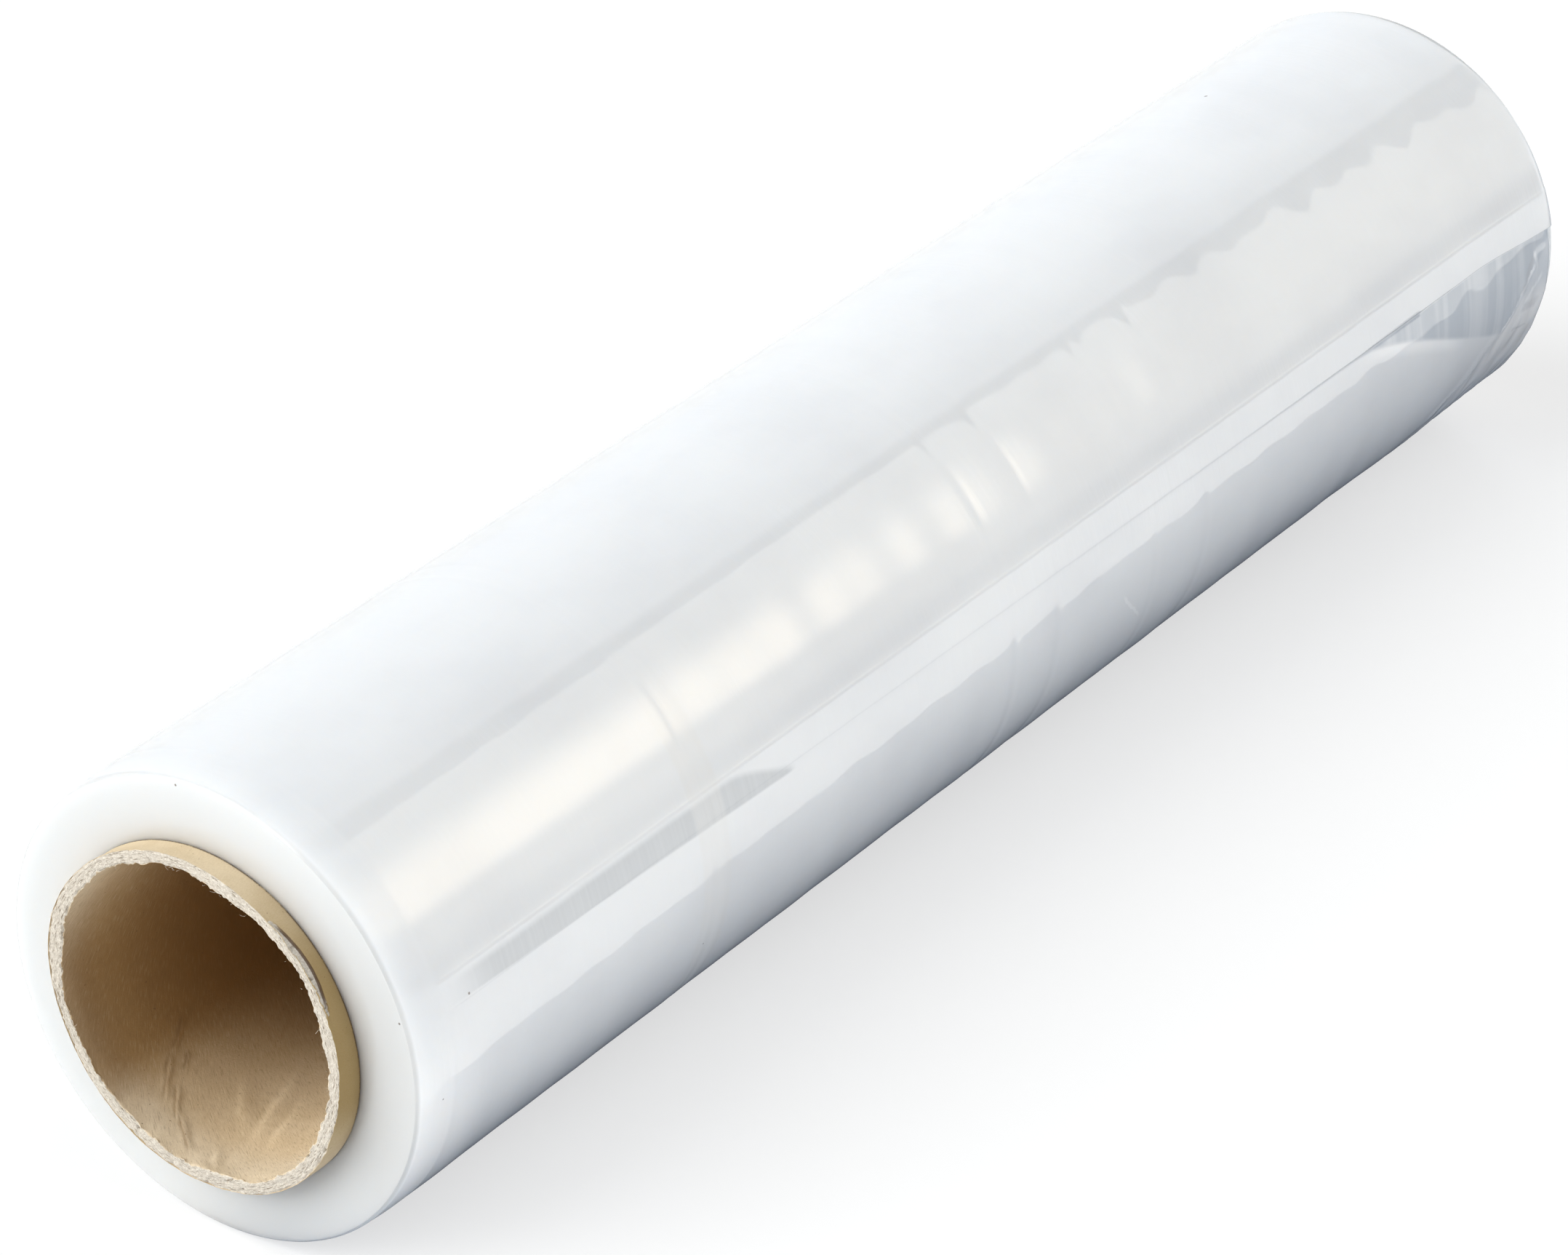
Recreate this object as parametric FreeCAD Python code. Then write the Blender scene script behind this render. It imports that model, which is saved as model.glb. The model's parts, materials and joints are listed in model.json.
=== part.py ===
import FreeCAD, Part
import math
import os

# A hand roll of clear stretch film wound on a paperboard core, lying on its side.
# X runs along the core from the near end to the far end, and +Z is up. The origin is midway
# along the roll, below its axis, on the surface that it lies on. Lengths are in millimetres.
# Angles about the roll start at its top and open towards the front, which is -Y.

# The winding of film
film_width = 500.0
film_outer_diameter = 114.8
near_edge_radius = 1.4
far_edge_radius = 5.0
flat_width = 12.0

# The paperboard core, which stands out past the film at each end
core_bore_diameter = 76.2
core_wall = 3.3
core_projection = 6.2
core_edge_break = 0.4

# Thin bands of the film, where the winding dips. Each place is a share of the film's width.
band_places = (0.025, 0.216, 0.461, 0.499, 0.588, 0.636)
band_width = 4.0
band_depth = 0.15

# Rings on the end faces, where the turns of the winding stand back a little
turn_ring_pitch = 3.6
turn_ring_width = 1.3
turn_ring_depth = 0.12

# The free end of the film, folded back on itself into a hem that runs along the roll
hem_angle = 72.0
hem_width = 7.4
hem_thickness = 0.12
hem_setback = 12.0

# The slack film under the hem at the far end, pressed in to a flat that deepens to the end. The
# sweep is the angle that it may cover, in degrees.
dent_angle = 83.0
dent_length = 112.0
dent_depth = 1.2
dent_sweep = 60.0

film_radius = film_outer_diameter / 2
core_radius = core_bore_diameter / 2 + core_wall
near_face = -film_width / 2
far_face = film_width / 2
axis_height = math.sqrt(film_radius ** 2 - (flat_width / 2) ** 2)
roll_axis = FreeCAD.Vector(0, 0, axis_height)
along = FreeCAD.Vector(1, 0, 0)
across = FreeCAD.Vector(0, 1, 0)
outward = FreeCAD.Vector(0, 0, 1)


def at(x, radius):
    """A point of a lengthwise outline, straight above the roll's axis."""
    return FreeCAD.Vector(x, 0, axis_height + radius)


def dipped_run(start, end, places, width, depth, inward):
    """A straight run of an outline, with a shallow dip centred at each distance in places."""
    heading = (end - start).normalize()
    points = [start]
    for place in places:
        middle = start + heading * place
        points.append(middle - heading * (width / 2))
        points.append(middle + inward * depth)
        points.append(middle + heading * (width / 2))
    points.append(end)
    return [Part.makeLine(points[i], points[i + 1]) for i in range(len(points) - 1)]


def rounded_corner(centre_x, centre_radius, size, side):
    """A quarter round of the winding's outer corner, from its end face to its outer surface."""
    slant = size * math.sqrt(0.5)
    face_end = at(centre_x + side * size, centre_radius)
    crown = at(centre_x + side * slant, centre_radius + slant)
    surface_end = at(centre_x, centre_radius + size)
    return Part.Arc(face_end, crown, surface_end).toShape()


def ring_places(edge_radius):
    """How far each ring of an end face stands from the core, up to the rounded corner."""
    face_height = film_radius - edge_radius - core_radius
    count = int((face_height - turn_ring_width / 2) / turn_ring_pitch)
    return [turn_ring_pitch * (number + 1) for number in range(count)]


def turn(edges, first_angle=0.0, swept_angle=360.0):
    """The solid that a closed lengthwise outline sweeps as it turns about the roll's axis."""
    outline = Part.Wire(Part.sortEdges(edges)[0])
    solid = Part.Face(outline).revolve(roll_axis, along, swept_angle)
    solid.rotate(roll_axis, along, first_angle)
    return solid


def frame_outline(x_from, x_to, radius_from, radius_to):
    """The four sides of a rectangular lengthwise outline."""
    corners = [at(x_from, radius_from), at(x_to, radius_from), at(x_to, radius_to), at(x_from, radius_to)]
    return [Part.makeLine(corners[i - 1], corners[i]) for i in range(4)]


def winding():
    """All the turns of film on the core, with the dips of their thin bands and end rings."""
    near_corner = rounded_corner(near_face + near_edge_radius, film_radius - near_edge_radius, near_edge_radius, -1)
    far_corner = rounded_corner(far_face - far_edge_radius, film_radius - far_edge_radius, far_edge_radius, 1)
    near_end = dipped_run(
        at(near_face, core_radius), at(near_face, film_radius - near_edge_radius),
        ring_places(near_edge_radius), turn_ring_width, turn_ring_depth, along,
    )
    far_end = dipped_run(
        at(far_face, core_radius), at(far_face, film_radius - far_edge_radius),
        ring_places(far_edge_radius), turn_ring_width, turn_ring_depth, -along,
    )
    surface = dipped_run(
        at(near_face + near_edge_radius, film_radius), at(far_face - far_edge_radius, film_radius),
        [share * film_width - near_edge_radius for share in band_places], band_width, band_depth, -outward,
    )
    bore = [Part.makeLine(at(near_face, core_radius), at(far_face, core_radius))]
    return turn(near_end + [near_corner] + surface + [far_corner] + far_end + bore)


def hem():
    """The folded free end of the film, a flat strip along the winding's front."""
    swept_angle = math.degrees(hem_width / film_radius)
    root_radius = film_radius - 2 * band_depth
    outline = frame_outline(
        near_face + hem_setback, far_face - far_edge_radius, root_radius, film_radius + hem_thickness,
    )
    return turn(outline, hem_angle - swept_angle / 2, swept_angle)


def dent():
    """The space over the slack film: a slanting flat below the hem, at the far end."""
    slant = math.degrees(math.atan2(dent_depth, dent_length))
    start = at(far_face - dent_length, film_radius)
    reach = film_radius
    block = Part.makeBox(dent_length + 2 * reach, 2 * reach, reach)
    block.translate(start - along * reach - across * reach)
    block.rotate(start, across, slant)
    block.rotate(roll_axis, along, dent_angle)
    hem_edge = hem_angle + math.degrees(hem_width / film_radius) / 2
    below_hem = frame_outline(near_face - reach, far_face + reach, core_radius, film_radius + reach)
    return block.common(turn(below_hem, hem_edge, dent_sweep))


def ground():
    """The space below the surface that the roll lies on."""
    block = Part.makeBox(2 * film_width, 4 * film_radius, film_radius)
    block.translate(FreeCAD.Vector(-film_width, -2 * film_radius, -film_radius))
    return block


def film_roll():
    """The wound film as one solid, with its hem, its slack far corner and its flat spot."""
    return winding().fuse(hem()).cut(dent()).cut(ground()).removeSplitter()


def core_tube():
    """The wound paperboard tube, with the crushed edges of its two cut ends."""
    bore_radius = core_bore_diameter / 2
    end = film_width / 2 + core_projection
    corners = []
    for side in (-1, 1):
        rim = [
            (end - core_edge_break, bore_radius),
            (end, bore_radius + core_edge_break),
            (end, core_radius - core_edge_break),
            (end - core_edge_break, core_radius),
        ]
        corners += [at(side * x, radius) for x, radius in rim[::side]]
    return turn([Part.makeLine(corners[i - 1], corners[i]) for i in range(len(corners))])


os.makedirs("parts", exist_ok=True)
for name, shape in (("film_roll", film_roll()), ("core_tube", core_tube())):
    shape.exportStep("parts/" + name + ".step")
    print(name, "valid:", shape.isValid(), "solids:", len(shape.Solids), "mm3:", round(shape.Volume))
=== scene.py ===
import json
import math
import random

import bmesh
import bpy
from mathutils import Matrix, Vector, noise

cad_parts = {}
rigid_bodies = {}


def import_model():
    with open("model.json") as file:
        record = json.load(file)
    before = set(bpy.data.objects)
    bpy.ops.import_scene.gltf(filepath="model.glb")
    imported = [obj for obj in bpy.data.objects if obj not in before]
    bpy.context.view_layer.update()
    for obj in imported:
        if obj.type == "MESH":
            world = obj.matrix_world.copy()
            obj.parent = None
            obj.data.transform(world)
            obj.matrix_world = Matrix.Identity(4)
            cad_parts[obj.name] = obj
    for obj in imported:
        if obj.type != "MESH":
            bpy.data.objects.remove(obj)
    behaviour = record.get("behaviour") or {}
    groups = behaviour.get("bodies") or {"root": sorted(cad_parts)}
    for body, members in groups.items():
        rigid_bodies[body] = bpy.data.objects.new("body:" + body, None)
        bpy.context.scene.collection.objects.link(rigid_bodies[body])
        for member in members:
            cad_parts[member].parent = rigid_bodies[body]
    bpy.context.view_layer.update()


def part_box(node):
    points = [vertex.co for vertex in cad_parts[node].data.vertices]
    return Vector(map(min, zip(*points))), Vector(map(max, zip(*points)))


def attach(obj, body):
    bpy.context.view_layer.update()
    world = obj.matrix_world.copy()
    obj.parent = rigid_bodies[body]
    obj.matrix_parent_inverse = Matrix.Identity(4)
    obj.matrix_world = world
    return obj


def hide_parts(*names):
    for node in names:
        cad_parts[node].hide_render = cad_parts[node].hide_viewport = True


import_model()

for thing in bpy.context.scene.objects:
    thing.select_set(False)


# The film: one long sheet of clear polyethylene, wound tightly on the core, so that its hundreds of
# turns look milky white. It is held by its own cling, and its free end is folded back into a narrow
# hem that runs along the roll. At the far end the last turn under the hem hangs slack and crumpled.
film_low, film_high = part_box("film_roll")
core_low, core_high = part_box("core_tube")
axis_height = (core_low.z + core_high.z) / 2
film_radius = film_high.z - axis_height
film_width = film_high.x - film_low.x
core_radius = (core_high.z - core_low.z) / 2
near_face = film_low.x

near_edge_radius = 0.0014
far_edge_radius = 0.005
taper_length = 0.0130
taper_depth = 0.00045
hem_first_angle = 68.3
hem_last_angle = 75.7
hem_edge_angle = 0.5
hem_drift = 1.8
hem_far_drift = 2.6
hem_thickness = 0.00012
hem_start = 0.0135
slack_sweep = 53.8
band_places = (0.216, 0.461, 0.499, 0.588, 0.636)
band_depths = (0.00006, 0.00008, 0.00006, 0.00004, 0.00004)
band_width = 0.0052
film_specks = (
    (0.0000, -6.7, 0.0556, 0.00030), (0.0000, 58.6, 0.0566, 0.00032), (0.0000, 72.0, 0.0555, 0.00042),
    (0.0004, 76.3, 0.0572, 0.00028), (0.0202, 74.8, 0.0575, 0.00032), (0.0084, 95.0, 0.0574, 0.00034),
    (0.4272, -13.2, 0.0574, 0.00060), (0.1060, 108.0, 0.0574, 0.00030),
)
# Strokes of painted highlight and painted shade on the crumpled far corner: first along, first angle, last
# along, last angle, width, and share, lighter where positive and darker where negative.
painted_crease_strokes = (
    (0.4885, 88.5, 0.4775, 98.0, 0.0009, 0.75), (0.4775, 98.0, 0.4722, 103.0, 0.0010, 0.80),
    (0.4925, 93.0, 0.4815, 100.3, 0.0011, 0.65), (0.4880, 84.5, 0.4900, 90.5, 0.0009, 0.45),
    (0.4722, 103.0, 0.4640, 111.5, 0.0018, 0.35), (0.4620, 112.5, 0.4435, 120.0, 0.0026, 0.50),
    (0.4735, 108.7, 0.4705, 109.4, 0.0014, 0.60), (0.4872, 86.0, 0.4818, 95.0, 0.0017, -0.40),
    (0.4800, 105.5, 0.4890, 108.0, 0.0007, -0.35), (0.4830, 99.5, 0.4930, 101.5, 0.0022, -0.30),
)
wave_lengths = (0.017, 0.0263, 0.041, 0.0734)
wave_height = 0.000025
slack_start = 0.385
slack_depth = 0.0011
crumple_start = 0.492
crumple_slope = 0.00128
crumple_drop = 0.010
crumple_ridge = 0.00022
wrinkle_height = 0.00016
wrinkle_size = 0.0065
bulge_place = 0.438
bulge_length = 0.075
bulge_height = 0.0005
degree_length = 0.001
# Place along, angle and lean of a painted highlight on a small wrinkle.
glint_place, glint_angle, glint_lean = 0.285, 102.2, 0.78


def smooth_step(low, high, value):
    """0 below low and 1 above high, with a smooth rise between them."""
    share = min(max((value - low) / (high - low), 0.0), 1.0)
    return share * share * (3 - 2 * share)


def bump_shape(distance, width):
    """1 at no distance, falling smoothly to 0 at half the width."""
    return 1 - smooth_step(0.0, width / 2, abs(distance))


def roll_angle(point):
    """The angle about the roll's axis in degrees, from its top and opening towards the front."""
    return math.degrees(math.atan2(-point.y, point.z - axis_height))


def film_relief(along, angle):
    """How far the film's surface stands proud of a true cylinder at this place, in metres."""
    height = -taper_depth * (1 - smooth_step(0.0, taper_length, along)) ** 2
    band_share = 0.1 + 0.9 * smooth_step(-15, 40, angle)
    for share, depth in zip(band_places, band_depths):
        height -= depth * bump_shape(along - share * film_width, band_width) * band_share
    for number, length in enumerate(wave_lengths):
        height += wave_height * math.sin(math.tau * along / length + 1.7 * number + 0.004 * angle * number)
    hem = smooth_step(hem_first_angle - hem_edge_angle, hem_first_angle, angle)
    hem -= smooth_step(hem_last_angle, hem_last_angle + hem_edge_angle, angle)
    height += hem_thickness * hem * smooth_step(hem_start - 0.001, hem_start, along)
    below_hem = smooth_step(hem_last_angle, hem_last_angle + hem_edge_angle, angle)
    reach = smooth_step(slack_start, film_width, along)
    # The slack dip below the hem; the film's finish paints shade over the same place.
    slack_and_shade = below_hem * (1 - smooth_step(hem_last_angle + 4, hem_last_angle + 10 + 22 * reach, angle))
    height -= slack_depth * slack_and_shade * reach
    crumple_edge = crumple_start - crumple_slope * (angle - 85)
    crumple = smooth_step(84, 90, angle) * (1 - smooth_step(108, 128, angle))
    height -= crumple_drop * crumple * max(0.0, along - crumple_edge)
    ridge = bump_shape(along - crumple_edge + 0.0012 * math.sin(angle * 0.55), 0.0045)
    height += crumple_ridge * smooth_step(82, 86, angle) * (1 - smooth_step(118, 124, angle)) * ridge
    beyond = smooth_step(-0.004, 0.004, along - crumple_edge) * smooth_step(77, 84, angle)
    place = Vector((along, angle * film_radius / 57.3 * 0.6, 0)) / wrinkle_size
    height += wrinkle_height * beyond * (1 - smooth_step(125, 140, angle)) * (1 - abs(noise.noise(place)) * 3)
    height += bulge_height * bump_shape(along - bulge_place, bulge_length) * bump_shape(angle - 124, 60)
    return height


def outline_stations():
    """Distances from the near face to each ring of the film's outer surface."""
    stations = []
    along = near_edge_radius + 0.0006
    while along < film_width - far_edge_radius:
        stations.append(along)
        near_band = min(abs(along - share * film_width) for share in band_places)
        if along < taper_length + 0.002:
            along += 0.0011
        elif near_band < band_width:
            along += 0.0009
        elif along > slack_start:
            along += 0.0016
        else:
            along += 0.0030
    return stations


def film_outline():
    """The film's lengthwise section as (distance from the near face, radius), once round."""
    ring_pitch = 0.0008
    ring_count = int((film_radius - near_edge_radius - core_radius) / ring_pitch)
    outline = [(0.0, core_radius + ring_pitch * number) for number in range(ring_count)]
    for degrees in range(0, 91, 15):
        turn = math.radians(degrees)
        outline.append((
            near_edge_radius * (1 - math.cos(turn)),
            film_radius - near_edge_radius * (1 - math.sin(turn)),
        ))
    outline += [(along, film_radius) for along in outline_stations()]
    for degrees in range(0, 91, 9):
        turn = math.radians(degrees)
        outline.append((
            film_width - far_edge_radius * (1 - math.sin(turn)),
            film_radius - far_edge_radius * (1 - math.cos(turn)),
        ))
    face_radius = film_radius - far_edge_radius
    ring_count = int((face_radius - core_radius) / ring_pitch)
    outline += [(film_width, face_radius - ring_pitch * number) for number in range(1, ring_count)]
    outline.append((film_width, core_radius))
    return outline


def outline_vertices(outline):
    """Draws an outline as a chain of edges above the axis, in edit mode, and closes it."""
    bpy.ops.mesh.primitive_plane_add(size=0.001, location=(0, 0, 0))
    bpy.ops.object.mode_set(mode="EDIT")
    bpy.ops.mesh.merge(type="CENTER")
    first = Vector((near_face + outline[0][0], 0, axis_height + outline[0][1]))
    bpy.ops.transform.translate(value=first)
    here = first
    for along, radius in outline[1:]:
        there = Vector((near_face + along, 0, axis_height + radius))
        bpy.ops.mesh.extrude_region_move(TRANSFORM_OT_translate={"value": there - here})
        here = there
    bpy.ops.mesh.select_all(action="SELECT")
    ends = bmesh.from_edit_mesh(bpy.context.object.data)
    ends.verts.ensure_lookup_table()
    loose = [corner for corner in ends.verts if len(corner.link_edges) == 1]
    ends.edges.new(loose)
    bmesh.update_edit_mesh(bpy.context.object.data)


def turn_outline(sweeps):
    """Turns the selected outline about the roll's axis, in sweeps of (degrees, steps)."""
    bpy.ops.mesh.select_all(action="SELECT")
    for degrees, steps in sweeps:
        bpy.ops.mesh.spin(
            steps=steps, angle=math.radians(degrees), center=(0, 0, axis_height), axis=(-1, 0, 0),
        )
    bpy.ops.mesh.select_all(action="SELECT")
    bpy.ops.mesh.remove_doubles(threshold=0.00001)
    bpy.ops.mesh.normals_make_consistent(inside=False)
    bpy.ops.object.mode_set(mode="OBJECT")


outline_vertices(film_outline())
turn_outline((
    (hem_first_angle - hem_edge_angle, 46), (hem_edge_angle, 2),
    (hem_last_angle - hem_first_angle, 8), (hem_edge_angle, 2),
    (slack_sweep, 48), (360 - hem_last_angle - hem_edge_angle - slack_sweep, 140),
))
film = bpy.context.object
film.name = "stretch_film"
for vertex in film.data.vertices:
    place = vertex.co
    radial = Vector((0, place.y, place.z - axis_height))
    if radial.length > film_radius - 0.001:
        along, angle = place.x - near_face, roll_angle(place)
        drift = hem_drift * smooth_step(0.1, 0.45, along) + hem_far_drift * smooth_step(0.455, 0.50, along)
        turn = math.radians(angle + drift * bump_shape(angle - 76, 24))
        radius = radial.length + film_relief(along, angle)
        vertex.co = Vector((place.x, -radius * math.sin(turn), axis_height + radius * math.cos(turn)))
    vertex.co.z = max(vertex.co.z, 0.0)
bpy.ops.object.shade_smooth_by_angle(angle=math.radians(40))


class Term:
    """One value in a finish's node tree, which takes part in sums as a number does."""

    def __init__(self, tree, socket=None):
        self.tree = tree
        self.socket = socket

    def node(self, kind, settings, inputs, output=0):
        """Adds a node, gives it its settings and then its inputs, and returns one of its outputs."""
        made = self.tree.nodes.new("ShaderNode" + kind)
        for name, value in settings.items():
            setattr(made, name, value)
        for name, value in inputs.items():
            if isinstance(value, Term):
                self.tree.links.new(value.socket, made.inputs[name])
            else:
                made.inputs[name].default_value = value
        return Term(self.tree, made.outputs[output])

    def sum(self, operation, *values):
        return self.node("Math", {"operation": operation}, dict(enumerate(values)))

    def __add__(self, other):
        return self.sum("ADD", self, other)

    def __sub__(self, other):
        return self.sum("SUBTRACT", self, other)

    def __rsub__(self, other):
        return self.sum("SUBTRACT", other, self)

    def __mul__(self, other):
        return self.sum("MULTIPLY", self, other)

    def __truediv__(self, other):
        return self.sum("DIVIDE", self, other)

    __radd__ = __add__
    __rmul__ = __mul__

    def rise(self, low, high):
        """0 below low and 1 above high, with a smooth rise between them."""
        span = {"From Min": low, "From Max": high, "To Min": 0.0, "To Max": 1.0, "Value": self}
        return self.node("MapRange", {"interpolation_type": "SMOOTHSTEP", "clamp": True}, span)

    def blend(self, first, second):
        """The first colour where this is 0 and the second where it is 1."""
        colours = {"Factor": self, 6: first, 7: second}
        return self.node("Mix", {"data_type": "RGBA"}, colours, 2)


def new_finish(name):
    """A material, its Principled shader, and the x, y and z of a place, with z from the roll's axis."""
    material = bpy.data.materials.new(name)
    material.use_nodes = True
    tree = material.node_tree
    shader = tree.nodes["Principled BSDF"]
    start = Term(tree)
    position = start.node("TexCoord", {}, {}, "Object")
    x, y, z = (start.node("SeparateXYZ", {}, {0: position}, axis) for axis in "XYZ")
    return material, shader, x, y, z - axis_height


def set_shader(shader, **values):
    """Sets the shader's sockets, named with _ for a space, to numbers, colours or terms."""
    for name, value in values.items():
        socket = shader.inputs[name.replace("_", " ")]
        if isinstance(value, Term):
            value.tree.links.new(value.socket, socket)
        else:
            socket.default_value = value


milky = (0.81, 0.82, 0.83, 1)
milky_shade = (0.76, 0.77, 0.785, 1)
film_finish, shader, x, y, z = new_finish("wound stretch film")
place = x.node("CombineXYZ", {}, {0: x, 1: y, 2: z + axis_height})
ring_place = x.node("CombineXYZ", {}, {0: x * 900, 1: y * 6, 2: z * 6})
fine_rings = x.node("TexNoise", {}, {"Vector": ring_place, "Scale": 1.0, "Detail": 3.0})
patch_place = x.node("CombineXYZ", {}, {0: x * 18, 1: y * 30, 2: z * 30})
patches = x.node("TexNoise", {}, {"Vector": patch_place, "Scale": 1.0, "Detail": 4.0})
film_colour = patches.rise(0.35, 0.7).blend(milky, milky_shade)
along = x - near_face
turn = x.sum("ARCTAN2", 0.0 - y, z) * math.degrees(1)
# Painted shade: a darker grey wedge on the hem, from just past the near margin to about 140 mm along.
wedge_top = turn - hem_first_angle - 0.8 - along.rise(0.116, 0.144) * 7 - patches * 1.2
wedge_foot = turn - 74.0 - along * 22 - patches
painted_shade_wedge = wedge_top.rise(-0.8, 1.4) * (1 - wedge_foot.rise(-0.3, 0.5))
painted_shade_wedge = painted_shade_wedge * along.rise(0.012, 0.032) * (1 - along.rise(0.137, 0.141))
hem_foot = turn - hem_last_angle - along.rise(0.1, 0.45) * hem_drift - along.rise(0.455, 0.50) * hem_far_drift
# Painted shadow: a thin dark line under the hem's lower edge, stronger towards the far end.
hem_shadow_line = 1 - x.sum("ABSOLUTE", hem_foot).rise(0.08, 0.28)
hem_shade = (0.12 + along.rise(0.33, 0.40) * 0.5) * (0.5 + fine_rings)
film_colour = (painted_shade_wedge * (0.75 + fine_rings * 0.35)).blend(film_colour, (0.57, 0.585, 0.60, 1))
film_colour = (hem_shadow_line * along.rise(0.012, 0.02) * hem_shade).blend(film_colour, (0.36, 0.38, 0.41, 1))
streak_place = x.node("CombineXYZ", {}, {0: x * 150, 1: y * 9, 2: z * 9})
streaks = x.node("TexNoise", {}, {"Vector": streak_place, "Scale": 1.0, "Detail": 4.0, "Distortion": 0.4})
# Painted shade: the slack film below the hem towards the far end is darkened bluish grey, streaked along its
# wrinkles and lighter past the crumple.
slack_edge = turn - 77 - along.rise(0.385, 0.505) * 32
slack_and_shade = hem_foot.rise(0.3, 1.0) * (1 - slack_edge.rise(-0.8, 0.8)) * along.rise(0.378, 0.40)
past_crumple = (along - 0.4885 + (turn - 88.5) * 0.00112).rise(-0.0005, 0.003)
slack_and_shade = slack_and_shade * (1.0 - streaks.rise(0.40, 0.66) * 0.5) * (1 - past_crumple * 0.45)
film_colour = (slack_and_shade * 0.58).blend(film_colour, (0.36, 0.41, 0.47, 1))
# Painted light: the crumpled film past the crumple line, below about 100 degrees, is lightened.
film_colour = (past_crumple * turn.rise(92, 104)).blend(film_colour, (0.98, 0.965, 0.955, 1))
lip = slack_edge.rise(0.0, 1.0) * (1 - slack_edge.rise(1.5, 5.0))
lip = lip * along.rise(0.39, 0.41) * (1 - along.rise(0.438, 0.452))
film_colour = (lip * 0.7).blend(film_colour, (0.93, 0.935, 0.94, 1))
crease_place = x.node("CombineXYZ", {}, {0: x * 330, 1: y * 240, 2: z * 240})
creasing = x.node("TexNoise", {}, {"Vector": crease_place, "Scale": 1.0, "Detail": 4.0, "Distortion": 0.9})
# Painted highlight where a stroke's share is positive, painted shade where it is negative.
for first_along, first_angle, last_along, last_angle, width, tone in painted_crease_strokes:
    run, drop = last_along - first_along, (last_angle - first_angle) * degree_length
    length = math.hypot(run, drop)
    share = ((along - first_along) * run + (turn - first_angle) * (degree_length * drop)) / length ** 2
    aside = ((along - first_along) * drop - (turn - first_angle) * (degree_length * run)) / length
    aside = x.sum("ABSOLUTE", aside + (creasing - 0.5) * 0.0026)
    stroke = (1 - aside.rise(width * 0.25, width)) * share.rise(-0.1, 0.1) * (1 - share.rise(0.85, 1.1))
    crease_light_shade = (0.93, 0.94, 0.95, 1) if tone > 0 else (0.45, 0.45, 0.47, 1)
    film_colour = (stroke * abs(tone) * (0.5 + creasing.rise(0.3, 0.6) * 0.6)).blend(film_colour, crease_light_shade)
# Painted light: the film's lower side within about 30 mm of the near end face is lightened.
near_light = 1 - along.rise(0.006, 0.030)
film_colour = (near_light * turn.rise(78, 105)).blend(film_colour, (0.97, 0.975, 0.98, 1))
# Painted shade: the first groove is a little darker and warmer on the film's front and under side.
groove_shade = 1 - x.sum("ABSOLUTE", along - band_places[0] * film_width).rise(0.0045, 0.0062)
film_colour = (groove_shade * turn.rise(30, 60) * 0.3).blend(film_colour, (0.78, 0.765, 0.735, 1))
# Painted shade: the end face is darker from 20 to 140 degrees round, its front and lower part.
end_shade = turn.rise(20, 80) * (1 - turn.rise(105, 140))
end_colour = end_shade.blend((0.69, 0.695, 0.695, 1), (0.60, 0.60, 0.595, 1))
film_colour = along.rise(0.0004, 0.0014).blend(end_colour, film_colour)
# Painted highlight: a short light stroke on a small wrinkle low on the front of the film.
past_glint, below_glint = along - glint_place, (turn - glint_angle) * degree_length
along_glint = past_glint * math.cos(glint_lean) + below_glint * math.sin(glint_lean)
across_glint = below_glint * math.cos(glint_lean) - past_glint * math.sin(glint_lean)
wrinkle_glint = 1 - x.sum("ABSOLUTE", across_glint + (creasing - 0.5) * 0.0012).rise(0.0002, 0.0007)
wrinkle_glint = wrinkle_glint * (1 - x.sum("ABSOLUTE", along_glint).rise(0.006, 0.0085))
film_colour = (wrinkle_glint * 0.8).blend(film_colour, (0.92, 0.93, 0.94, 1))
for speck_along, speck_angle, speck_radius, speck_size in film_specks:
    speck_turn = math.radians(speck_angle)
    speck_at = (
        near_face + speck_along, -speck_radius * math.sin(speck_turn),
        axis_height + speck_radius * math.cos(speck_turn),
    )
    away = x.node("VectorMath", {"operation": "DISTANCE"}, {0: place, 1: speck_at}, "Value")
    speck = 1 - (away + (creasing - 0.5) * 0.0004).rise(speck_size * 0.5, speck_size)
    film_colour = (speck * 0.85).blend(film_colour, (0.14, 0.105, 0.08, 1))
ragged_place = x.node("CombineXYZ", {}, {0: x * 260, 1: y * 70, 2: z * 70})
ragged = x.node("TexNoise", {}, {"Vector": ragged_place, "Scale": 1.0, "Detail": 3.0})
margin = 1 - along.rise(0.0112, 0.0130)
soft_band = 1 - x.sum("ABSOLUTE", along - band_places[0] * film_width).rise(0.0028, 0.0042)
relief = x.node("Bump", {}, {"Strength": 0.12, "Distance": 0.0004, "Height": fine_rings + ragged * 2})
set_shader(
    shader, Base_Color=film_colour, Roughness=0.38, Normal=relief, IOR=1.5,
    Coat_Weight=1.0 - margin * 0.4 - soft_band * 0.08, Coat_Roughness=0.045, Coat_IOR=1.65,
    Subsurface_Weight=0.8, Subsurface_Radius=(0.9, 1.0, 1.1), Subsurface_Scale=0.012,
)
film.data.materials.clear()
film.data.materials.append(film_finish)
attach(film, "root")
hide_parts("film_roll")


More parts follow.
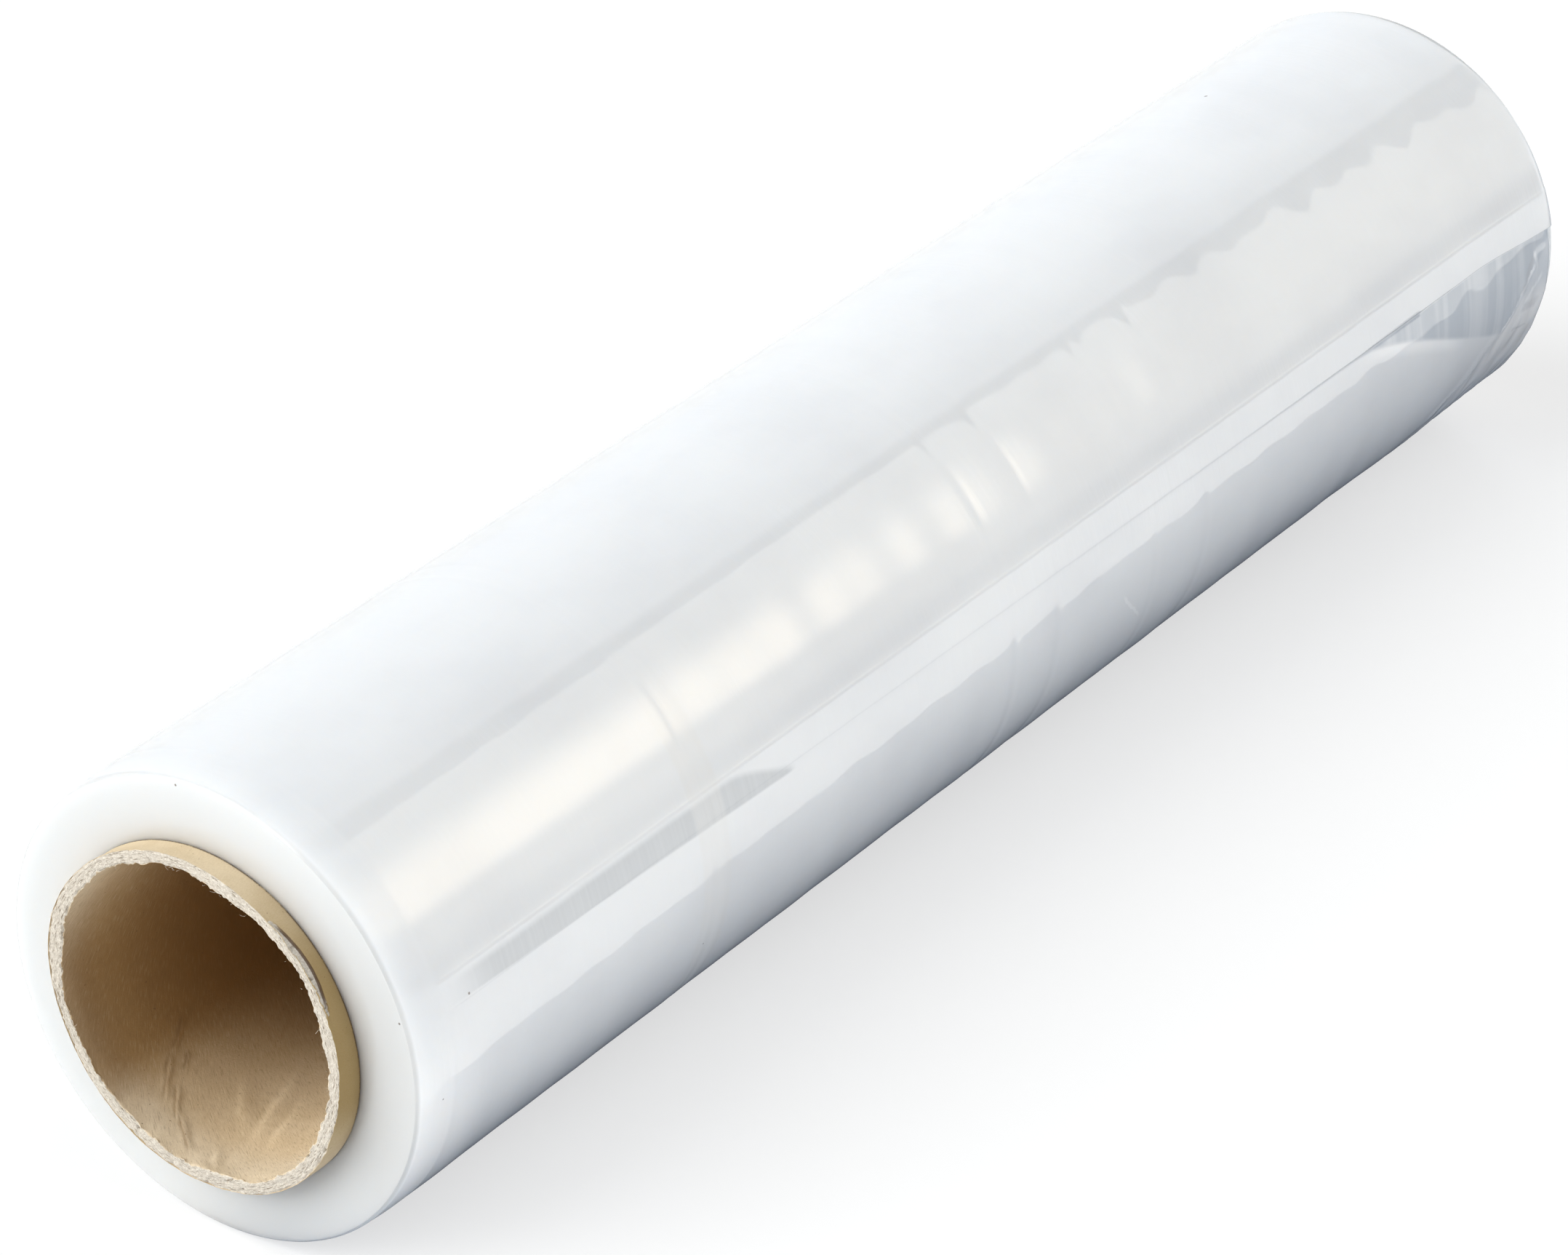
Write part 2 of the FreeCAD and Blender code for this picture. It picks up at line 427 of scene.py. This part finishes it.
# The core: a tube wound from glued plies of kraft paperboard and sawn to length. The film is wound
# straight onto it, and it stands out a little past the film at both ends. Its cut ends are rough
# grey chipboard, its outer ply has started to split there, and its liner is creased.
bore_radius = 0.0381
near_end = core_low.x
far_end = core_high.x
projection = near_face - near_end
outer_waves = ((1, 0.00040, 70), (2, 0.00030, 20), (3, 0.00020, 200), (5, 0.00018, 30))
inner_waves = ((1, 0.00045, 75), (2, 0.00025, 10), (4, 0.00020, 120), (7, 0.00022, 45), (11, 0.00014, 20))
edge_fade = 0.0045
tear_height = 0.00034
scallop_height = 0.00035
tear_fade = 0.0007
rough_height = 0.00026
rim_wear = 0.0005
uneven_cut = 0.0004
ply_pitch = 0.00062
ply_groove = 0.00016
gap_places = ((126.5, 0.0379, 1.9), (117.5, 0.0403, 1.4), (170.0, 0.0392, 1.2), (-152.0, 0.0391, 0.9))
gap_depth = 0.0011
split_first_angle = 28
split_last_angle = 72
split_distance = 0.0012
split_drop = 0.00038
split_bulge = 0.0011
creases = (
    (0.0195, -138.5, 0.0105, -149.5, 0.0020, 0.00048), (0.0155, -148.5, 0.0093, -157.0, 0.0019, 0.00042),
    (0.0100, -158.0, 0.0035, -170.0, 0.0022, 0.00036), (0.0285, -131.0, 0.0215, -137.0, 0.0017, 0.00030),
    (0.0240, -141.0, 0.0205, -145.0, 0.0014, 0.00026), (0.0400, -172.0, 0.0150, 176.0, 0.0060, 0.00060),
    (0.0340, 177.0, 0.0120, 166.0, 0.0066, 0.00055), (0.0300, -160.0, 0.0180, -176.0, 0.0052, 0.00036),
    (0.0080, -176.0, 0.0020, 176.0, 0.0026, 0.00034), (0.0520, -118.0, 0.0400, -126.0, 0.0040, 0.00030),
)
fibre_count = 90


def wander(angle, waves):
    """How far a cut edge strays from its circle at this angle in degrees, in metres."""
    return sum(height * math.cos(math.radians(turns * angle + start)) for turns, height, start in waves)


def grain(along, angle, radius, size, seed):
    """Smooth noise of about -1 to 1 whose bumps have this size in metres."""
    turn = math.radians(angle)
    place = Vector((along, radius * math.sin(turn), radius * math.cos(turn))) / size
    return noise.noise(place + Vector((seed, 0.0, 0.0)))


def crease_height(depth, angle):
    """How far the liner stands into the bore at this place, for its creases and folds."""
    height = 0.0
    for first_depth, first_angle, last_depth, last_angle, width, rise in creases:
        span = math.radians((last_angle - first_angle + 180) % 360 - 180) * bore_radius
        across = math.radians((angle - first_angle + 180) % 360 - 180) * bore_radius
        length = math.hypot(last_depth - first_depth, span)
        share = ((depth - first_depth) * (last_depth - first_depth) + across * span) / length ** 2
        if -0.25 < share < 1.25:
            aside = ((depth - first_depth) * span - across * (last_depth - first_depth)) / length
            aside += 0.0003 * math.sin(share * 8)
            fade = bump_shape(share - 0.5, 1.5)
            near_side = smooth_step(-width, 0.0, aside)
            far_side = 1 - smooth_step(0.0, width * 0.4, aside)
            height += rise * fade * near_side * far_side
    return height


def core_outline():
    """The core's lengthwise section as (distance from its near end, radius), once round."""
    wall = core_radius - bore_radius
    length = far_end - near_end
    ends = 15
    outline = [(0.0, bore_radius + wall * number / ends) for number in range(ends)]
    outline += [(projection * number / 24, core_radius) for number in range(25)]
    outline += [(length - projection * (1 - number / 7), core_radius) for number in range(8)]
    outline += [(length, core_radius - wall * number / 6) for number in range(1, 7)]
    depth = length - 0.001
    while depth > 0.0003:
        outline.append((depth, bore_radius))
        if depth < 0.003:
            depth -= 0.0004
        elif depth < 0.032:
            depth -= 0.0007
        elif depth < 0.050:
            depth -= 0.0012
        else:
            depth -= 0.012
    return outline


def core_place(place):
    """Where a point of the true tube comes to lie on the worn one, and its share of raw cut board."""
    angle = roll_angle(place)
    radius = math.hypot(place.y, place.z - axis_height)
    across = (radius - bore_radius) / (core_radius - bore_radius)
    depth = min(place.x - near_end, far_end - place.x)
    side = 1 if place.x - near_end < far_end - place.x else -1
    seed = 3.0 if side > 0 else 11.0
    edge_share = 1 - smooth_step(0.0, edge_fade, depth)
    tear_share = 1 - smooth_step(0.0, tear_fade, depth)
    fine_tear = 0.6 * grain(seed, angle, radius, 0.0007, seed)
    tear = tear_height * (grain(seed, angle, radius, 0.0016, seed) + fine_tear)
    outward = wander(angle * side, outer_waves) * across + wander(angle * side, inner_waves) * (1 - across)
    if side > 0:
        outward += split_bulge * (1 - across) * bump_shape(angle - split_last_angle * 0.7, 50)
    outward += scallop_height * (1.4 - across) * grain(seed, angle, bore_radius, 0.0052, seed + 20)
    radius += outward * edge_share + tear * tear_share * (1.3 - across)
    raw = 1.0 if depth < 0.0001 and 0.02 < across < 0.98 else 0.0
    inward = 0.0
    if depth < 0.0001:
        fine_rough = 0.5 * grain(0.0, angle, radius, 0.0004, seed)
        inward = rough_height * (0.6 + grain(0.0, angle, radius, 0.0009, seed + 5) + fine_rough)
        ply_drift = 2 * grain(0.0, angle, core_radius, 0.006, seed)
        inward += ply_groove * math.cos(math.tau * (radius - outward) / ply_pitch + ply_drift) ** 2
        rim_share = smooth_step(0.7, 1.0, abs(across * 2 - 1))
        inward += rim_wear * rim_share * (0.5 + grain(0.0, angle, radius, 0.003, seed + 9))
        inward += uneven_cut * grain(0.0, angle, core_radius, 0.011, seed + 14)
        for gap_angle, gap_radius, gap_width in gap_places:
            gap = bump_shape((angle * side - gap_angle) / gap_width, 2)
            gap *= bump_shape(radius - gap_radius, 0.0009)
            inward += gap_depth * gap
    elif across > 0.9 and side > 0:
        from_middle = angle - (split_first_angle + split_last_angle) / 2
        split = bump_shape(from_middle / (split_last_angle - split_first_angle), 1)
        line = split_distance * (1 + split) + 0.0003 * grain(0.0, angle, core_radius, 0.003, 2.0)
        torn = smooth_step(0.0, 0.3, split) * (1 - smooth_step(line - 0.0001, line + 0.0003, depth))
        radius -= split_drop * torn
        raw = smooth_step(0.3, 0.6, torn)
    if across < 0.1:
        if side > 0:
            radius -= crease_height(depth, angle)
        radius += 0.00008 * grain(place.x, angle, bore_radius, 0.006, seed) * smooth_step(0.0, 0.002, depth)
    turn = math.radians(angle)
    worn = Vector((place.x + inward * side, -radius * math.sin(turn), axis_height + radius * math.cos(turn)))
    return worn, raw


outline_vertices([(along - projection, radius) for along, radius in core_outline()])
turn_outline(((360, 540),))
core = bpy.context.object
core.name = "core_board"
raw_cut = core.data.attributes.new("raw_cut", "FLOAT", "POINT")
for vertex in core.data.vertices:
    vertex.co, raw_cut.data[vertex.index].value = core_place(vertex.co)
bpy.ops.object.shade_smooth_by_angle(angle=math.radians(50))

chance = random.Random(7)
bpy.ops.mesh.primitive_circle_add(vertices=3, radius=0.00001, location=(0, 0, 0))
fibres = bpy.context.object
bpy.ops.object.mode_set(mode="EDIT")
bpy.ops.mesh.delete(type="VERT")
for number in range(fibre_count):
    angle = chance.uniform(-180, 180)
    radius = bore_radius + wander(angle, inner_waves) + chance.choice((0.0, 0.0, 0.0, 0.0028)) + 0.0001
    turn = math.radians(angle)
    root = Vector((near_end + 0.0001, -radius * math.sin(turn), axis_height + radius * math.cos(turn)))
    inward = Vector((0, math.sin(turn), -math.cos(turn)))
    around = Vector((0, -math.cos(turn), -math.sin(turn)))
    heading = inward * chance.uniform(0.3, 1.0) + around * chance.uniform(-1, 1)
    heading -= Vector((chance.uniform(-0.2, 0.5), 0, 0))
    heading = heading.normalized() * chance.choice((0.00012, 0.00016, 0.00022, 0.00034))
    bend = around * chance.uniform(-0.00011, 0.00011) + inward * chance.uniform(-0.00006, 0.00003)
    bpy.ops.mesh.primitive_circle_add(
        vertices=3, radius=chance.uniform(0.00002, 0.00004), location=root,
        rotation=heading.to_track_quat("Z", "Y").to_euler(), fill_type="NGON",
    )
    for step in range(4):
        bpy.ops.mesh.extrude_region_move(TRANSFORM_OT_translate={"value": heading + bend * step})
    bpy.ops.mesh.select_all(action="DESELECT")
bpy.ops.mesh.select_all(action="SELECT")
bpy.ops.mesh.normals_make_consistent(inside=False)
bpy.ops.object.mode_set(mode="OBJECT")
fibre_cut = fibres.data.attributes.new("raw_cut", "FLOAT", "POINT")
fibre_cut.data.foreach_set("value", [1.0] * len(fibres.data.vertices))
core.select_set(True)
bpy.context.view_layer.objects.active = core
bpy.ops.object.join()

core_finish, shader, x, y, z = new_finish("kraft core board")
radius = x.sum("SQRT", y * y + z * z)
depth = x.sum("MINIMUM", x - near_end, far_end - x)
cut = x.node("Attribute", {"attribute_name": "raw_cut"}, {}, "Fac").rise(0.35, 0.65)
kraft_place = x.node("CombineXYZ", {}, {0: x, 1: y, 2: z})
cloud = x.node("TexNoise", {}, {"Vector": kraft_place, "Scale": 110.0, "Detail": 5.0})
strand_place = x.node("CombineXYZ", {}, {0: x * 1500, 1: y * 5200, 2: z * 5200})
strands = x.node("TexNoise", {}, {"Vector": strand_place, "Scale": 1.0, "Detail": 3.0, "Distortion": 0.6})
fleck = x.node("TexNoise", {}, {"Vector": kraft_place, "Scale": 1300.0, "Detail": 1.0}).rise(0.745, 0.80)
inside = 1 - radius.rise(bore_radius + 0.0008, bore_radius + 0.0016)
turn = x.sum("ARCTAN2", 0.0 - y, z) * math.degrees(1)
kraft = (cloud * 0.5 + strands * 0.5).rise(0.36, 0.66).blend((0.64, 0.505, 0.325, 1), (0.73, 0.595, 0.405, 1))
arc = turn * (math.radians(1) * bore_radius)
stroke_place = x.node("CombineXYZ", {}, {0: (x - arc * 0.7) * 3400, 1: (x * 0.7 + arc) * 330, 2: cloud * 2.0})
strokes = x.node("TexNoise", {}, {"Vector": stroke_place, "Scale": 1.0, "Detail": 2.0})
liner = (cloud * 0.5 + strands * 0.5).rise(0.36, 0.66).blend((0.69, 0.56, 0.385, 1), (0.78, 0.65, 0.475, 1))
# Painted shade: the bore's back wall, 50 to 150 degrees behind the top, is dark saturated brown from the
# mouth inwards.
painted_wall_shade = (0.0 - turn).rise(50, 98) * (1 - (0.0 - turn).rise(128, 150))
liner = (painted_wall_shade * depth.rise(-0.020, 0.010) * 0.88).blend(liner, (0.31, 0.175, 0.062, 1))
# Painted shade: the bore grows dark brown with depth, beginning deeper on the floor that the window lights.
window_lit_floor = x.sum("MAXIMUM", (y * 0.47 + z * 0.54) * (-1 / bore_radius), 0.0) * 0.05
liner = ((depth - window_lit_floor).rise(0.004, 0.058) * 0.9).blend(liner, (0.14, 0.054, 0.012, 1))
# Painted shade: the liner turns a more saturated orange a little way into the bore.
liner = (depth.rise(0.003, 0.016) * 0.3).blend(liner, (0.62, 0.40, 0.17, 1))
light_strokes = strokes.rise(0.54, 0.70) * 0.34 * (1 - painted_wall_shade * 0.6) * (1 - depth.rise(0.02, 0.05) * 0.7)
liner = light_strokes.blend(liner, (0.90, 0.78, 0.58, 1))
liner = ((1 - strokes.rise(0.32, 0.46)) * 0.3).blend(liner, (0.26, 0.16, 0.07, 1))
folds = x * 0.0
for first_depth, first_angle, last_depth, last_angle, width, rise in creases[:5]:
    span = math.radians(last_angle - first_angle) * bore_radius
    length = math.hypot(last_depth - first_depth, span)
    down, over = depth - first_depth, (turn - first_angle) * (math.radians(1) * bore_radius)
    share = (down * (last_depth - first_depth) + over * span) / length ** 2
    aside = (down * span - over * (last_depth - first_depth)) / length + (cloud - 0.5) * 0.0022
    run = share.rise(-0.2, 0.2) * (1 - share.rise(0.8, 1.2)) * inside * (1 - x.rise(-0.1, 0.1))
    folds = folds + aside.rise(-width * 0.7, 0.0) * (1 - aside.rise(0.0, 0.00035)) * run
    shadow = aside.rise(-0.0001, 0.0002) * (1 - aside.rise(0.0003, 0.0014)) * run * 0.55
    liner = shadow.blend(liner, (0.22, 0.12, 0.045, 1))
# Painted shade: the outer kraft band is dark brown on its front and lower side, from 10 to 130 degrees round.
kraft = (turn.rise(10, 60) * (1 - turn.rise(95, 130)) * 0.75).blend(kraft, (0.27, 0.168, 0.034, 1))
paper = (fleck * 0.8).blend(inside.blend(kraft, liner), (0.24, 0.145, 0.075, 1))
# Painted contact shadow with brown fuzz: a thin dark line on the core where the film's end face meets it.
junction_shadow_and_fuzz = depth.rise(projection - 0.0005, projection - 0.0001) * (strands + cloud).rise(0.75, 1.1)
paper = (junction_shadow_and_fuzz * (1 - inside)).blend(paper, (0.12, 0.075, 0.045, 1))
middle = (split_first_angle + split_last_angle) / 2
split = 1 - x.sum("ABSOLUTE", turn - middle).rise(0.0, (split_last_angle - split_first_angle) / 2)
split_line = x.sum("ABSOLUTE", depth - (split + 1) * split_distance - (cloud - 0.5) * 0.0008)
crack = (1 - split_line.rise(0.00015, 0.00042)) * split.rise(0.1, 0.5)
crack = crack * (1 - x.rise(-0.1, 0.1)) * (1 - inside)
layer_place = x.node("CombineXYZ", {}, {0: radius * 5200, 1: y / radius * 22, 2: z / radius * 22})
layers = x.node("TexNoise", {}, {"Vector": layer_place, "Scale": 1.0, "Detail": 3.0, "Distortion": 0.8})
ply_shift = x.node("TexNoise", {}, {"Vector": kraft_place, "Scale": 160.0, "Detail": 2.0})
ply_line = x.sum("FRACT", radius / ply_pitch + ply_shift * 1.1)
ply_line = 1 - x.sum("ABSOLUTE", ply_line - 0.5).rise(0.03, 0.14)
grit = x.node("TexNoise", {}, {"Vector": kraft_place, "Scale": 2100.0, "Detail": 2.0})
board = grit.rise(0.3, 0.7).blend((0.55, 0.485, 0.405, 1), (0.72, 0.665, 0.58, 1))
board = (layers * 0.85 + grit * 0.15 + ply_line * 0.05).rise(0.55, 0.64).blend(board, (0.27, 0.22, 0.165, 1))
core_colour = (crack * 0.9).blend(cut.blend(paper, board), (0.10, 0.055, 0.03, 1))
height = strands * 0.5 + grit * 0.5 + folds * 1.6
relief = x.node("Bump", {}, {"Strength": 0.35, "Distance": 0.0002, "Height": height})
set_shader(shader, Base_Color=core_colour, Roughness=0.85, Specular_IOR_Level=0.25, Normal=relief)
core.data.materials.clear()
core.data.materials.append(core_finish)
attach(core, "root")
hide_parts("core_tube")


# The studio: a plain pale floor, which reflected and bounced light sees with a painted shadow in front
# of the roll and a painted glow beyond it, a wide soft window at the near end, soft panels behind and in
# front that the film's gloss mirrors, and the photograph's camera.
bpy.ops.mesh.primitive_plane_add(size=12, location=(0, 0, 0))
floor = bpy.context.object
floor.name = "studio_floor"
floor_finish, shader, x, y, z = new_finish("pale studio floor")
seen = x.node("LightPath", {}, {}, "Is Camera Ray")
# Rays other than the camera's see a painted shadow on the floor in front of the roll and a painted glow
# beyond it; the camera sees the pale floor.
beyond_floor_shadow = (0.0 - y - x * 0.1).rise(0.1250, 0.1265)
floor_shadow = (0.0 - y).rise(-0.02, 0.02) * (1 - beyond_floor_shadow) * x.rise(-0.31, -0.25)
bounced = floor_shadow.blend((0.90, 0.90, 0.90, 1), (0.26, 0.30, 0.37, 1))
floor_colour = seen.blend(bounced, (0.41, 0.41, 0.41, 1))
floor_glow = seen.blend(beyond_floor_shadow.blend((0, 0, 0, 1), (0.50, 0.50, 0.50, 1)), (1, 1, 1, 1))
set_shader(
    shader, Base_Color=floor_colour, Roughness=1.0, Specular_IOR_Level=0.0,
    Emission_Color=floor_glow, Emission_Strength=0.6,
)
floor.data.materials.append(floor_finish)

world = bpy.data.worlds.new("soft studio")
bpy.context.scene.world = world
world.use_nodes = True
tree = world.node_tree
start = Term(tree)
way = start.node("TexCoord", {}, {}, "Generated")
x, y, z = (start.node("SeparateXYZ", {}, {0: way}, axis) for axis in "XYZ")
turn = x.sum("ARCTAN2", 0.0 - y, z) * math.degrees(1)
mirrored = x.rise(0.45, 0.60) * (1 - x.rise(0.80, 0.90))
behind = (1 - turn.rise(-20, 6) * 0.4 - turn.rise(6, 9.5) * 0.6) * mirrored
panel_turn = turn - (1 - x.rise(0.64, 0.73)) * 4.5 - x.rise(0.74, 0.84) * 19
in_front = panel_turn.rise(13.5, 14.3) * mirrored * (1 - turn.rise(74, 86) * 0.7) * (1 - turn.rise(92, 100))
beside = turn.rise(-18, 0) * (1 - mirrored) * x.rise(-0.6, -0.1) * (1 - turn.rise(95, 110))
glow = turn.rise(28, 50) * (1 - turn.rise(58, 68)) * mirrored * (1 - x.rise(0.69, 0.765))
window = x.node("VectorMath", {"operation": "DOT_PRODUCT"}, {0: way, 1: (-0.70, 0.47, 0.54)}, "Value")
strength = behind * 1.06 + in_front * 0.94 + beside * (1.0 + turn.rise(64, 78) * 0.4)
strength = strength + glow * 2.2 + window.rise(0.82, 0.94) * 5.1
background = tree.nodes["Background"]
tree.links.new(strength.socket, background.inputs["Strength"])
light_tint = beside.blend((0.985, 1.0, 0.995, 1), (0.97, 1.0, 1.04, 1))
light_tint = in_front.blend(light_tint, (1.04, 1.0, 0.90, 1))
light_tint = behind.rise(0.05, 0.5).blend(light_tint, (0.955, 1.0, 1.06, 1))
light_tint = glow.blend(light_tint, (1.09, 0.965, 0.76, 1))
tree.links.new(light_tint.socket, background.inputs["Color"])

camera_data = bpy.data.cameras.new("camera")
camera = bpy.data.objects.new("camera", camera_data)
bpy.context.scene.collection.objects.link(camera)
camera_data.lens = 132.0
camera_data.sensor_width = 36.0
camera.location = (near_face - 0.77901, -0.70427, axis_height + 0.68910)
camera.rotation_euler = Vector((0.70917, 0.50259, -0.49445)).to_track_quat("-Z", "Y").to_euler()
bpy.context.scene.camera = camera
bpy.context.scene.view_settings.view_transform = "Standard"
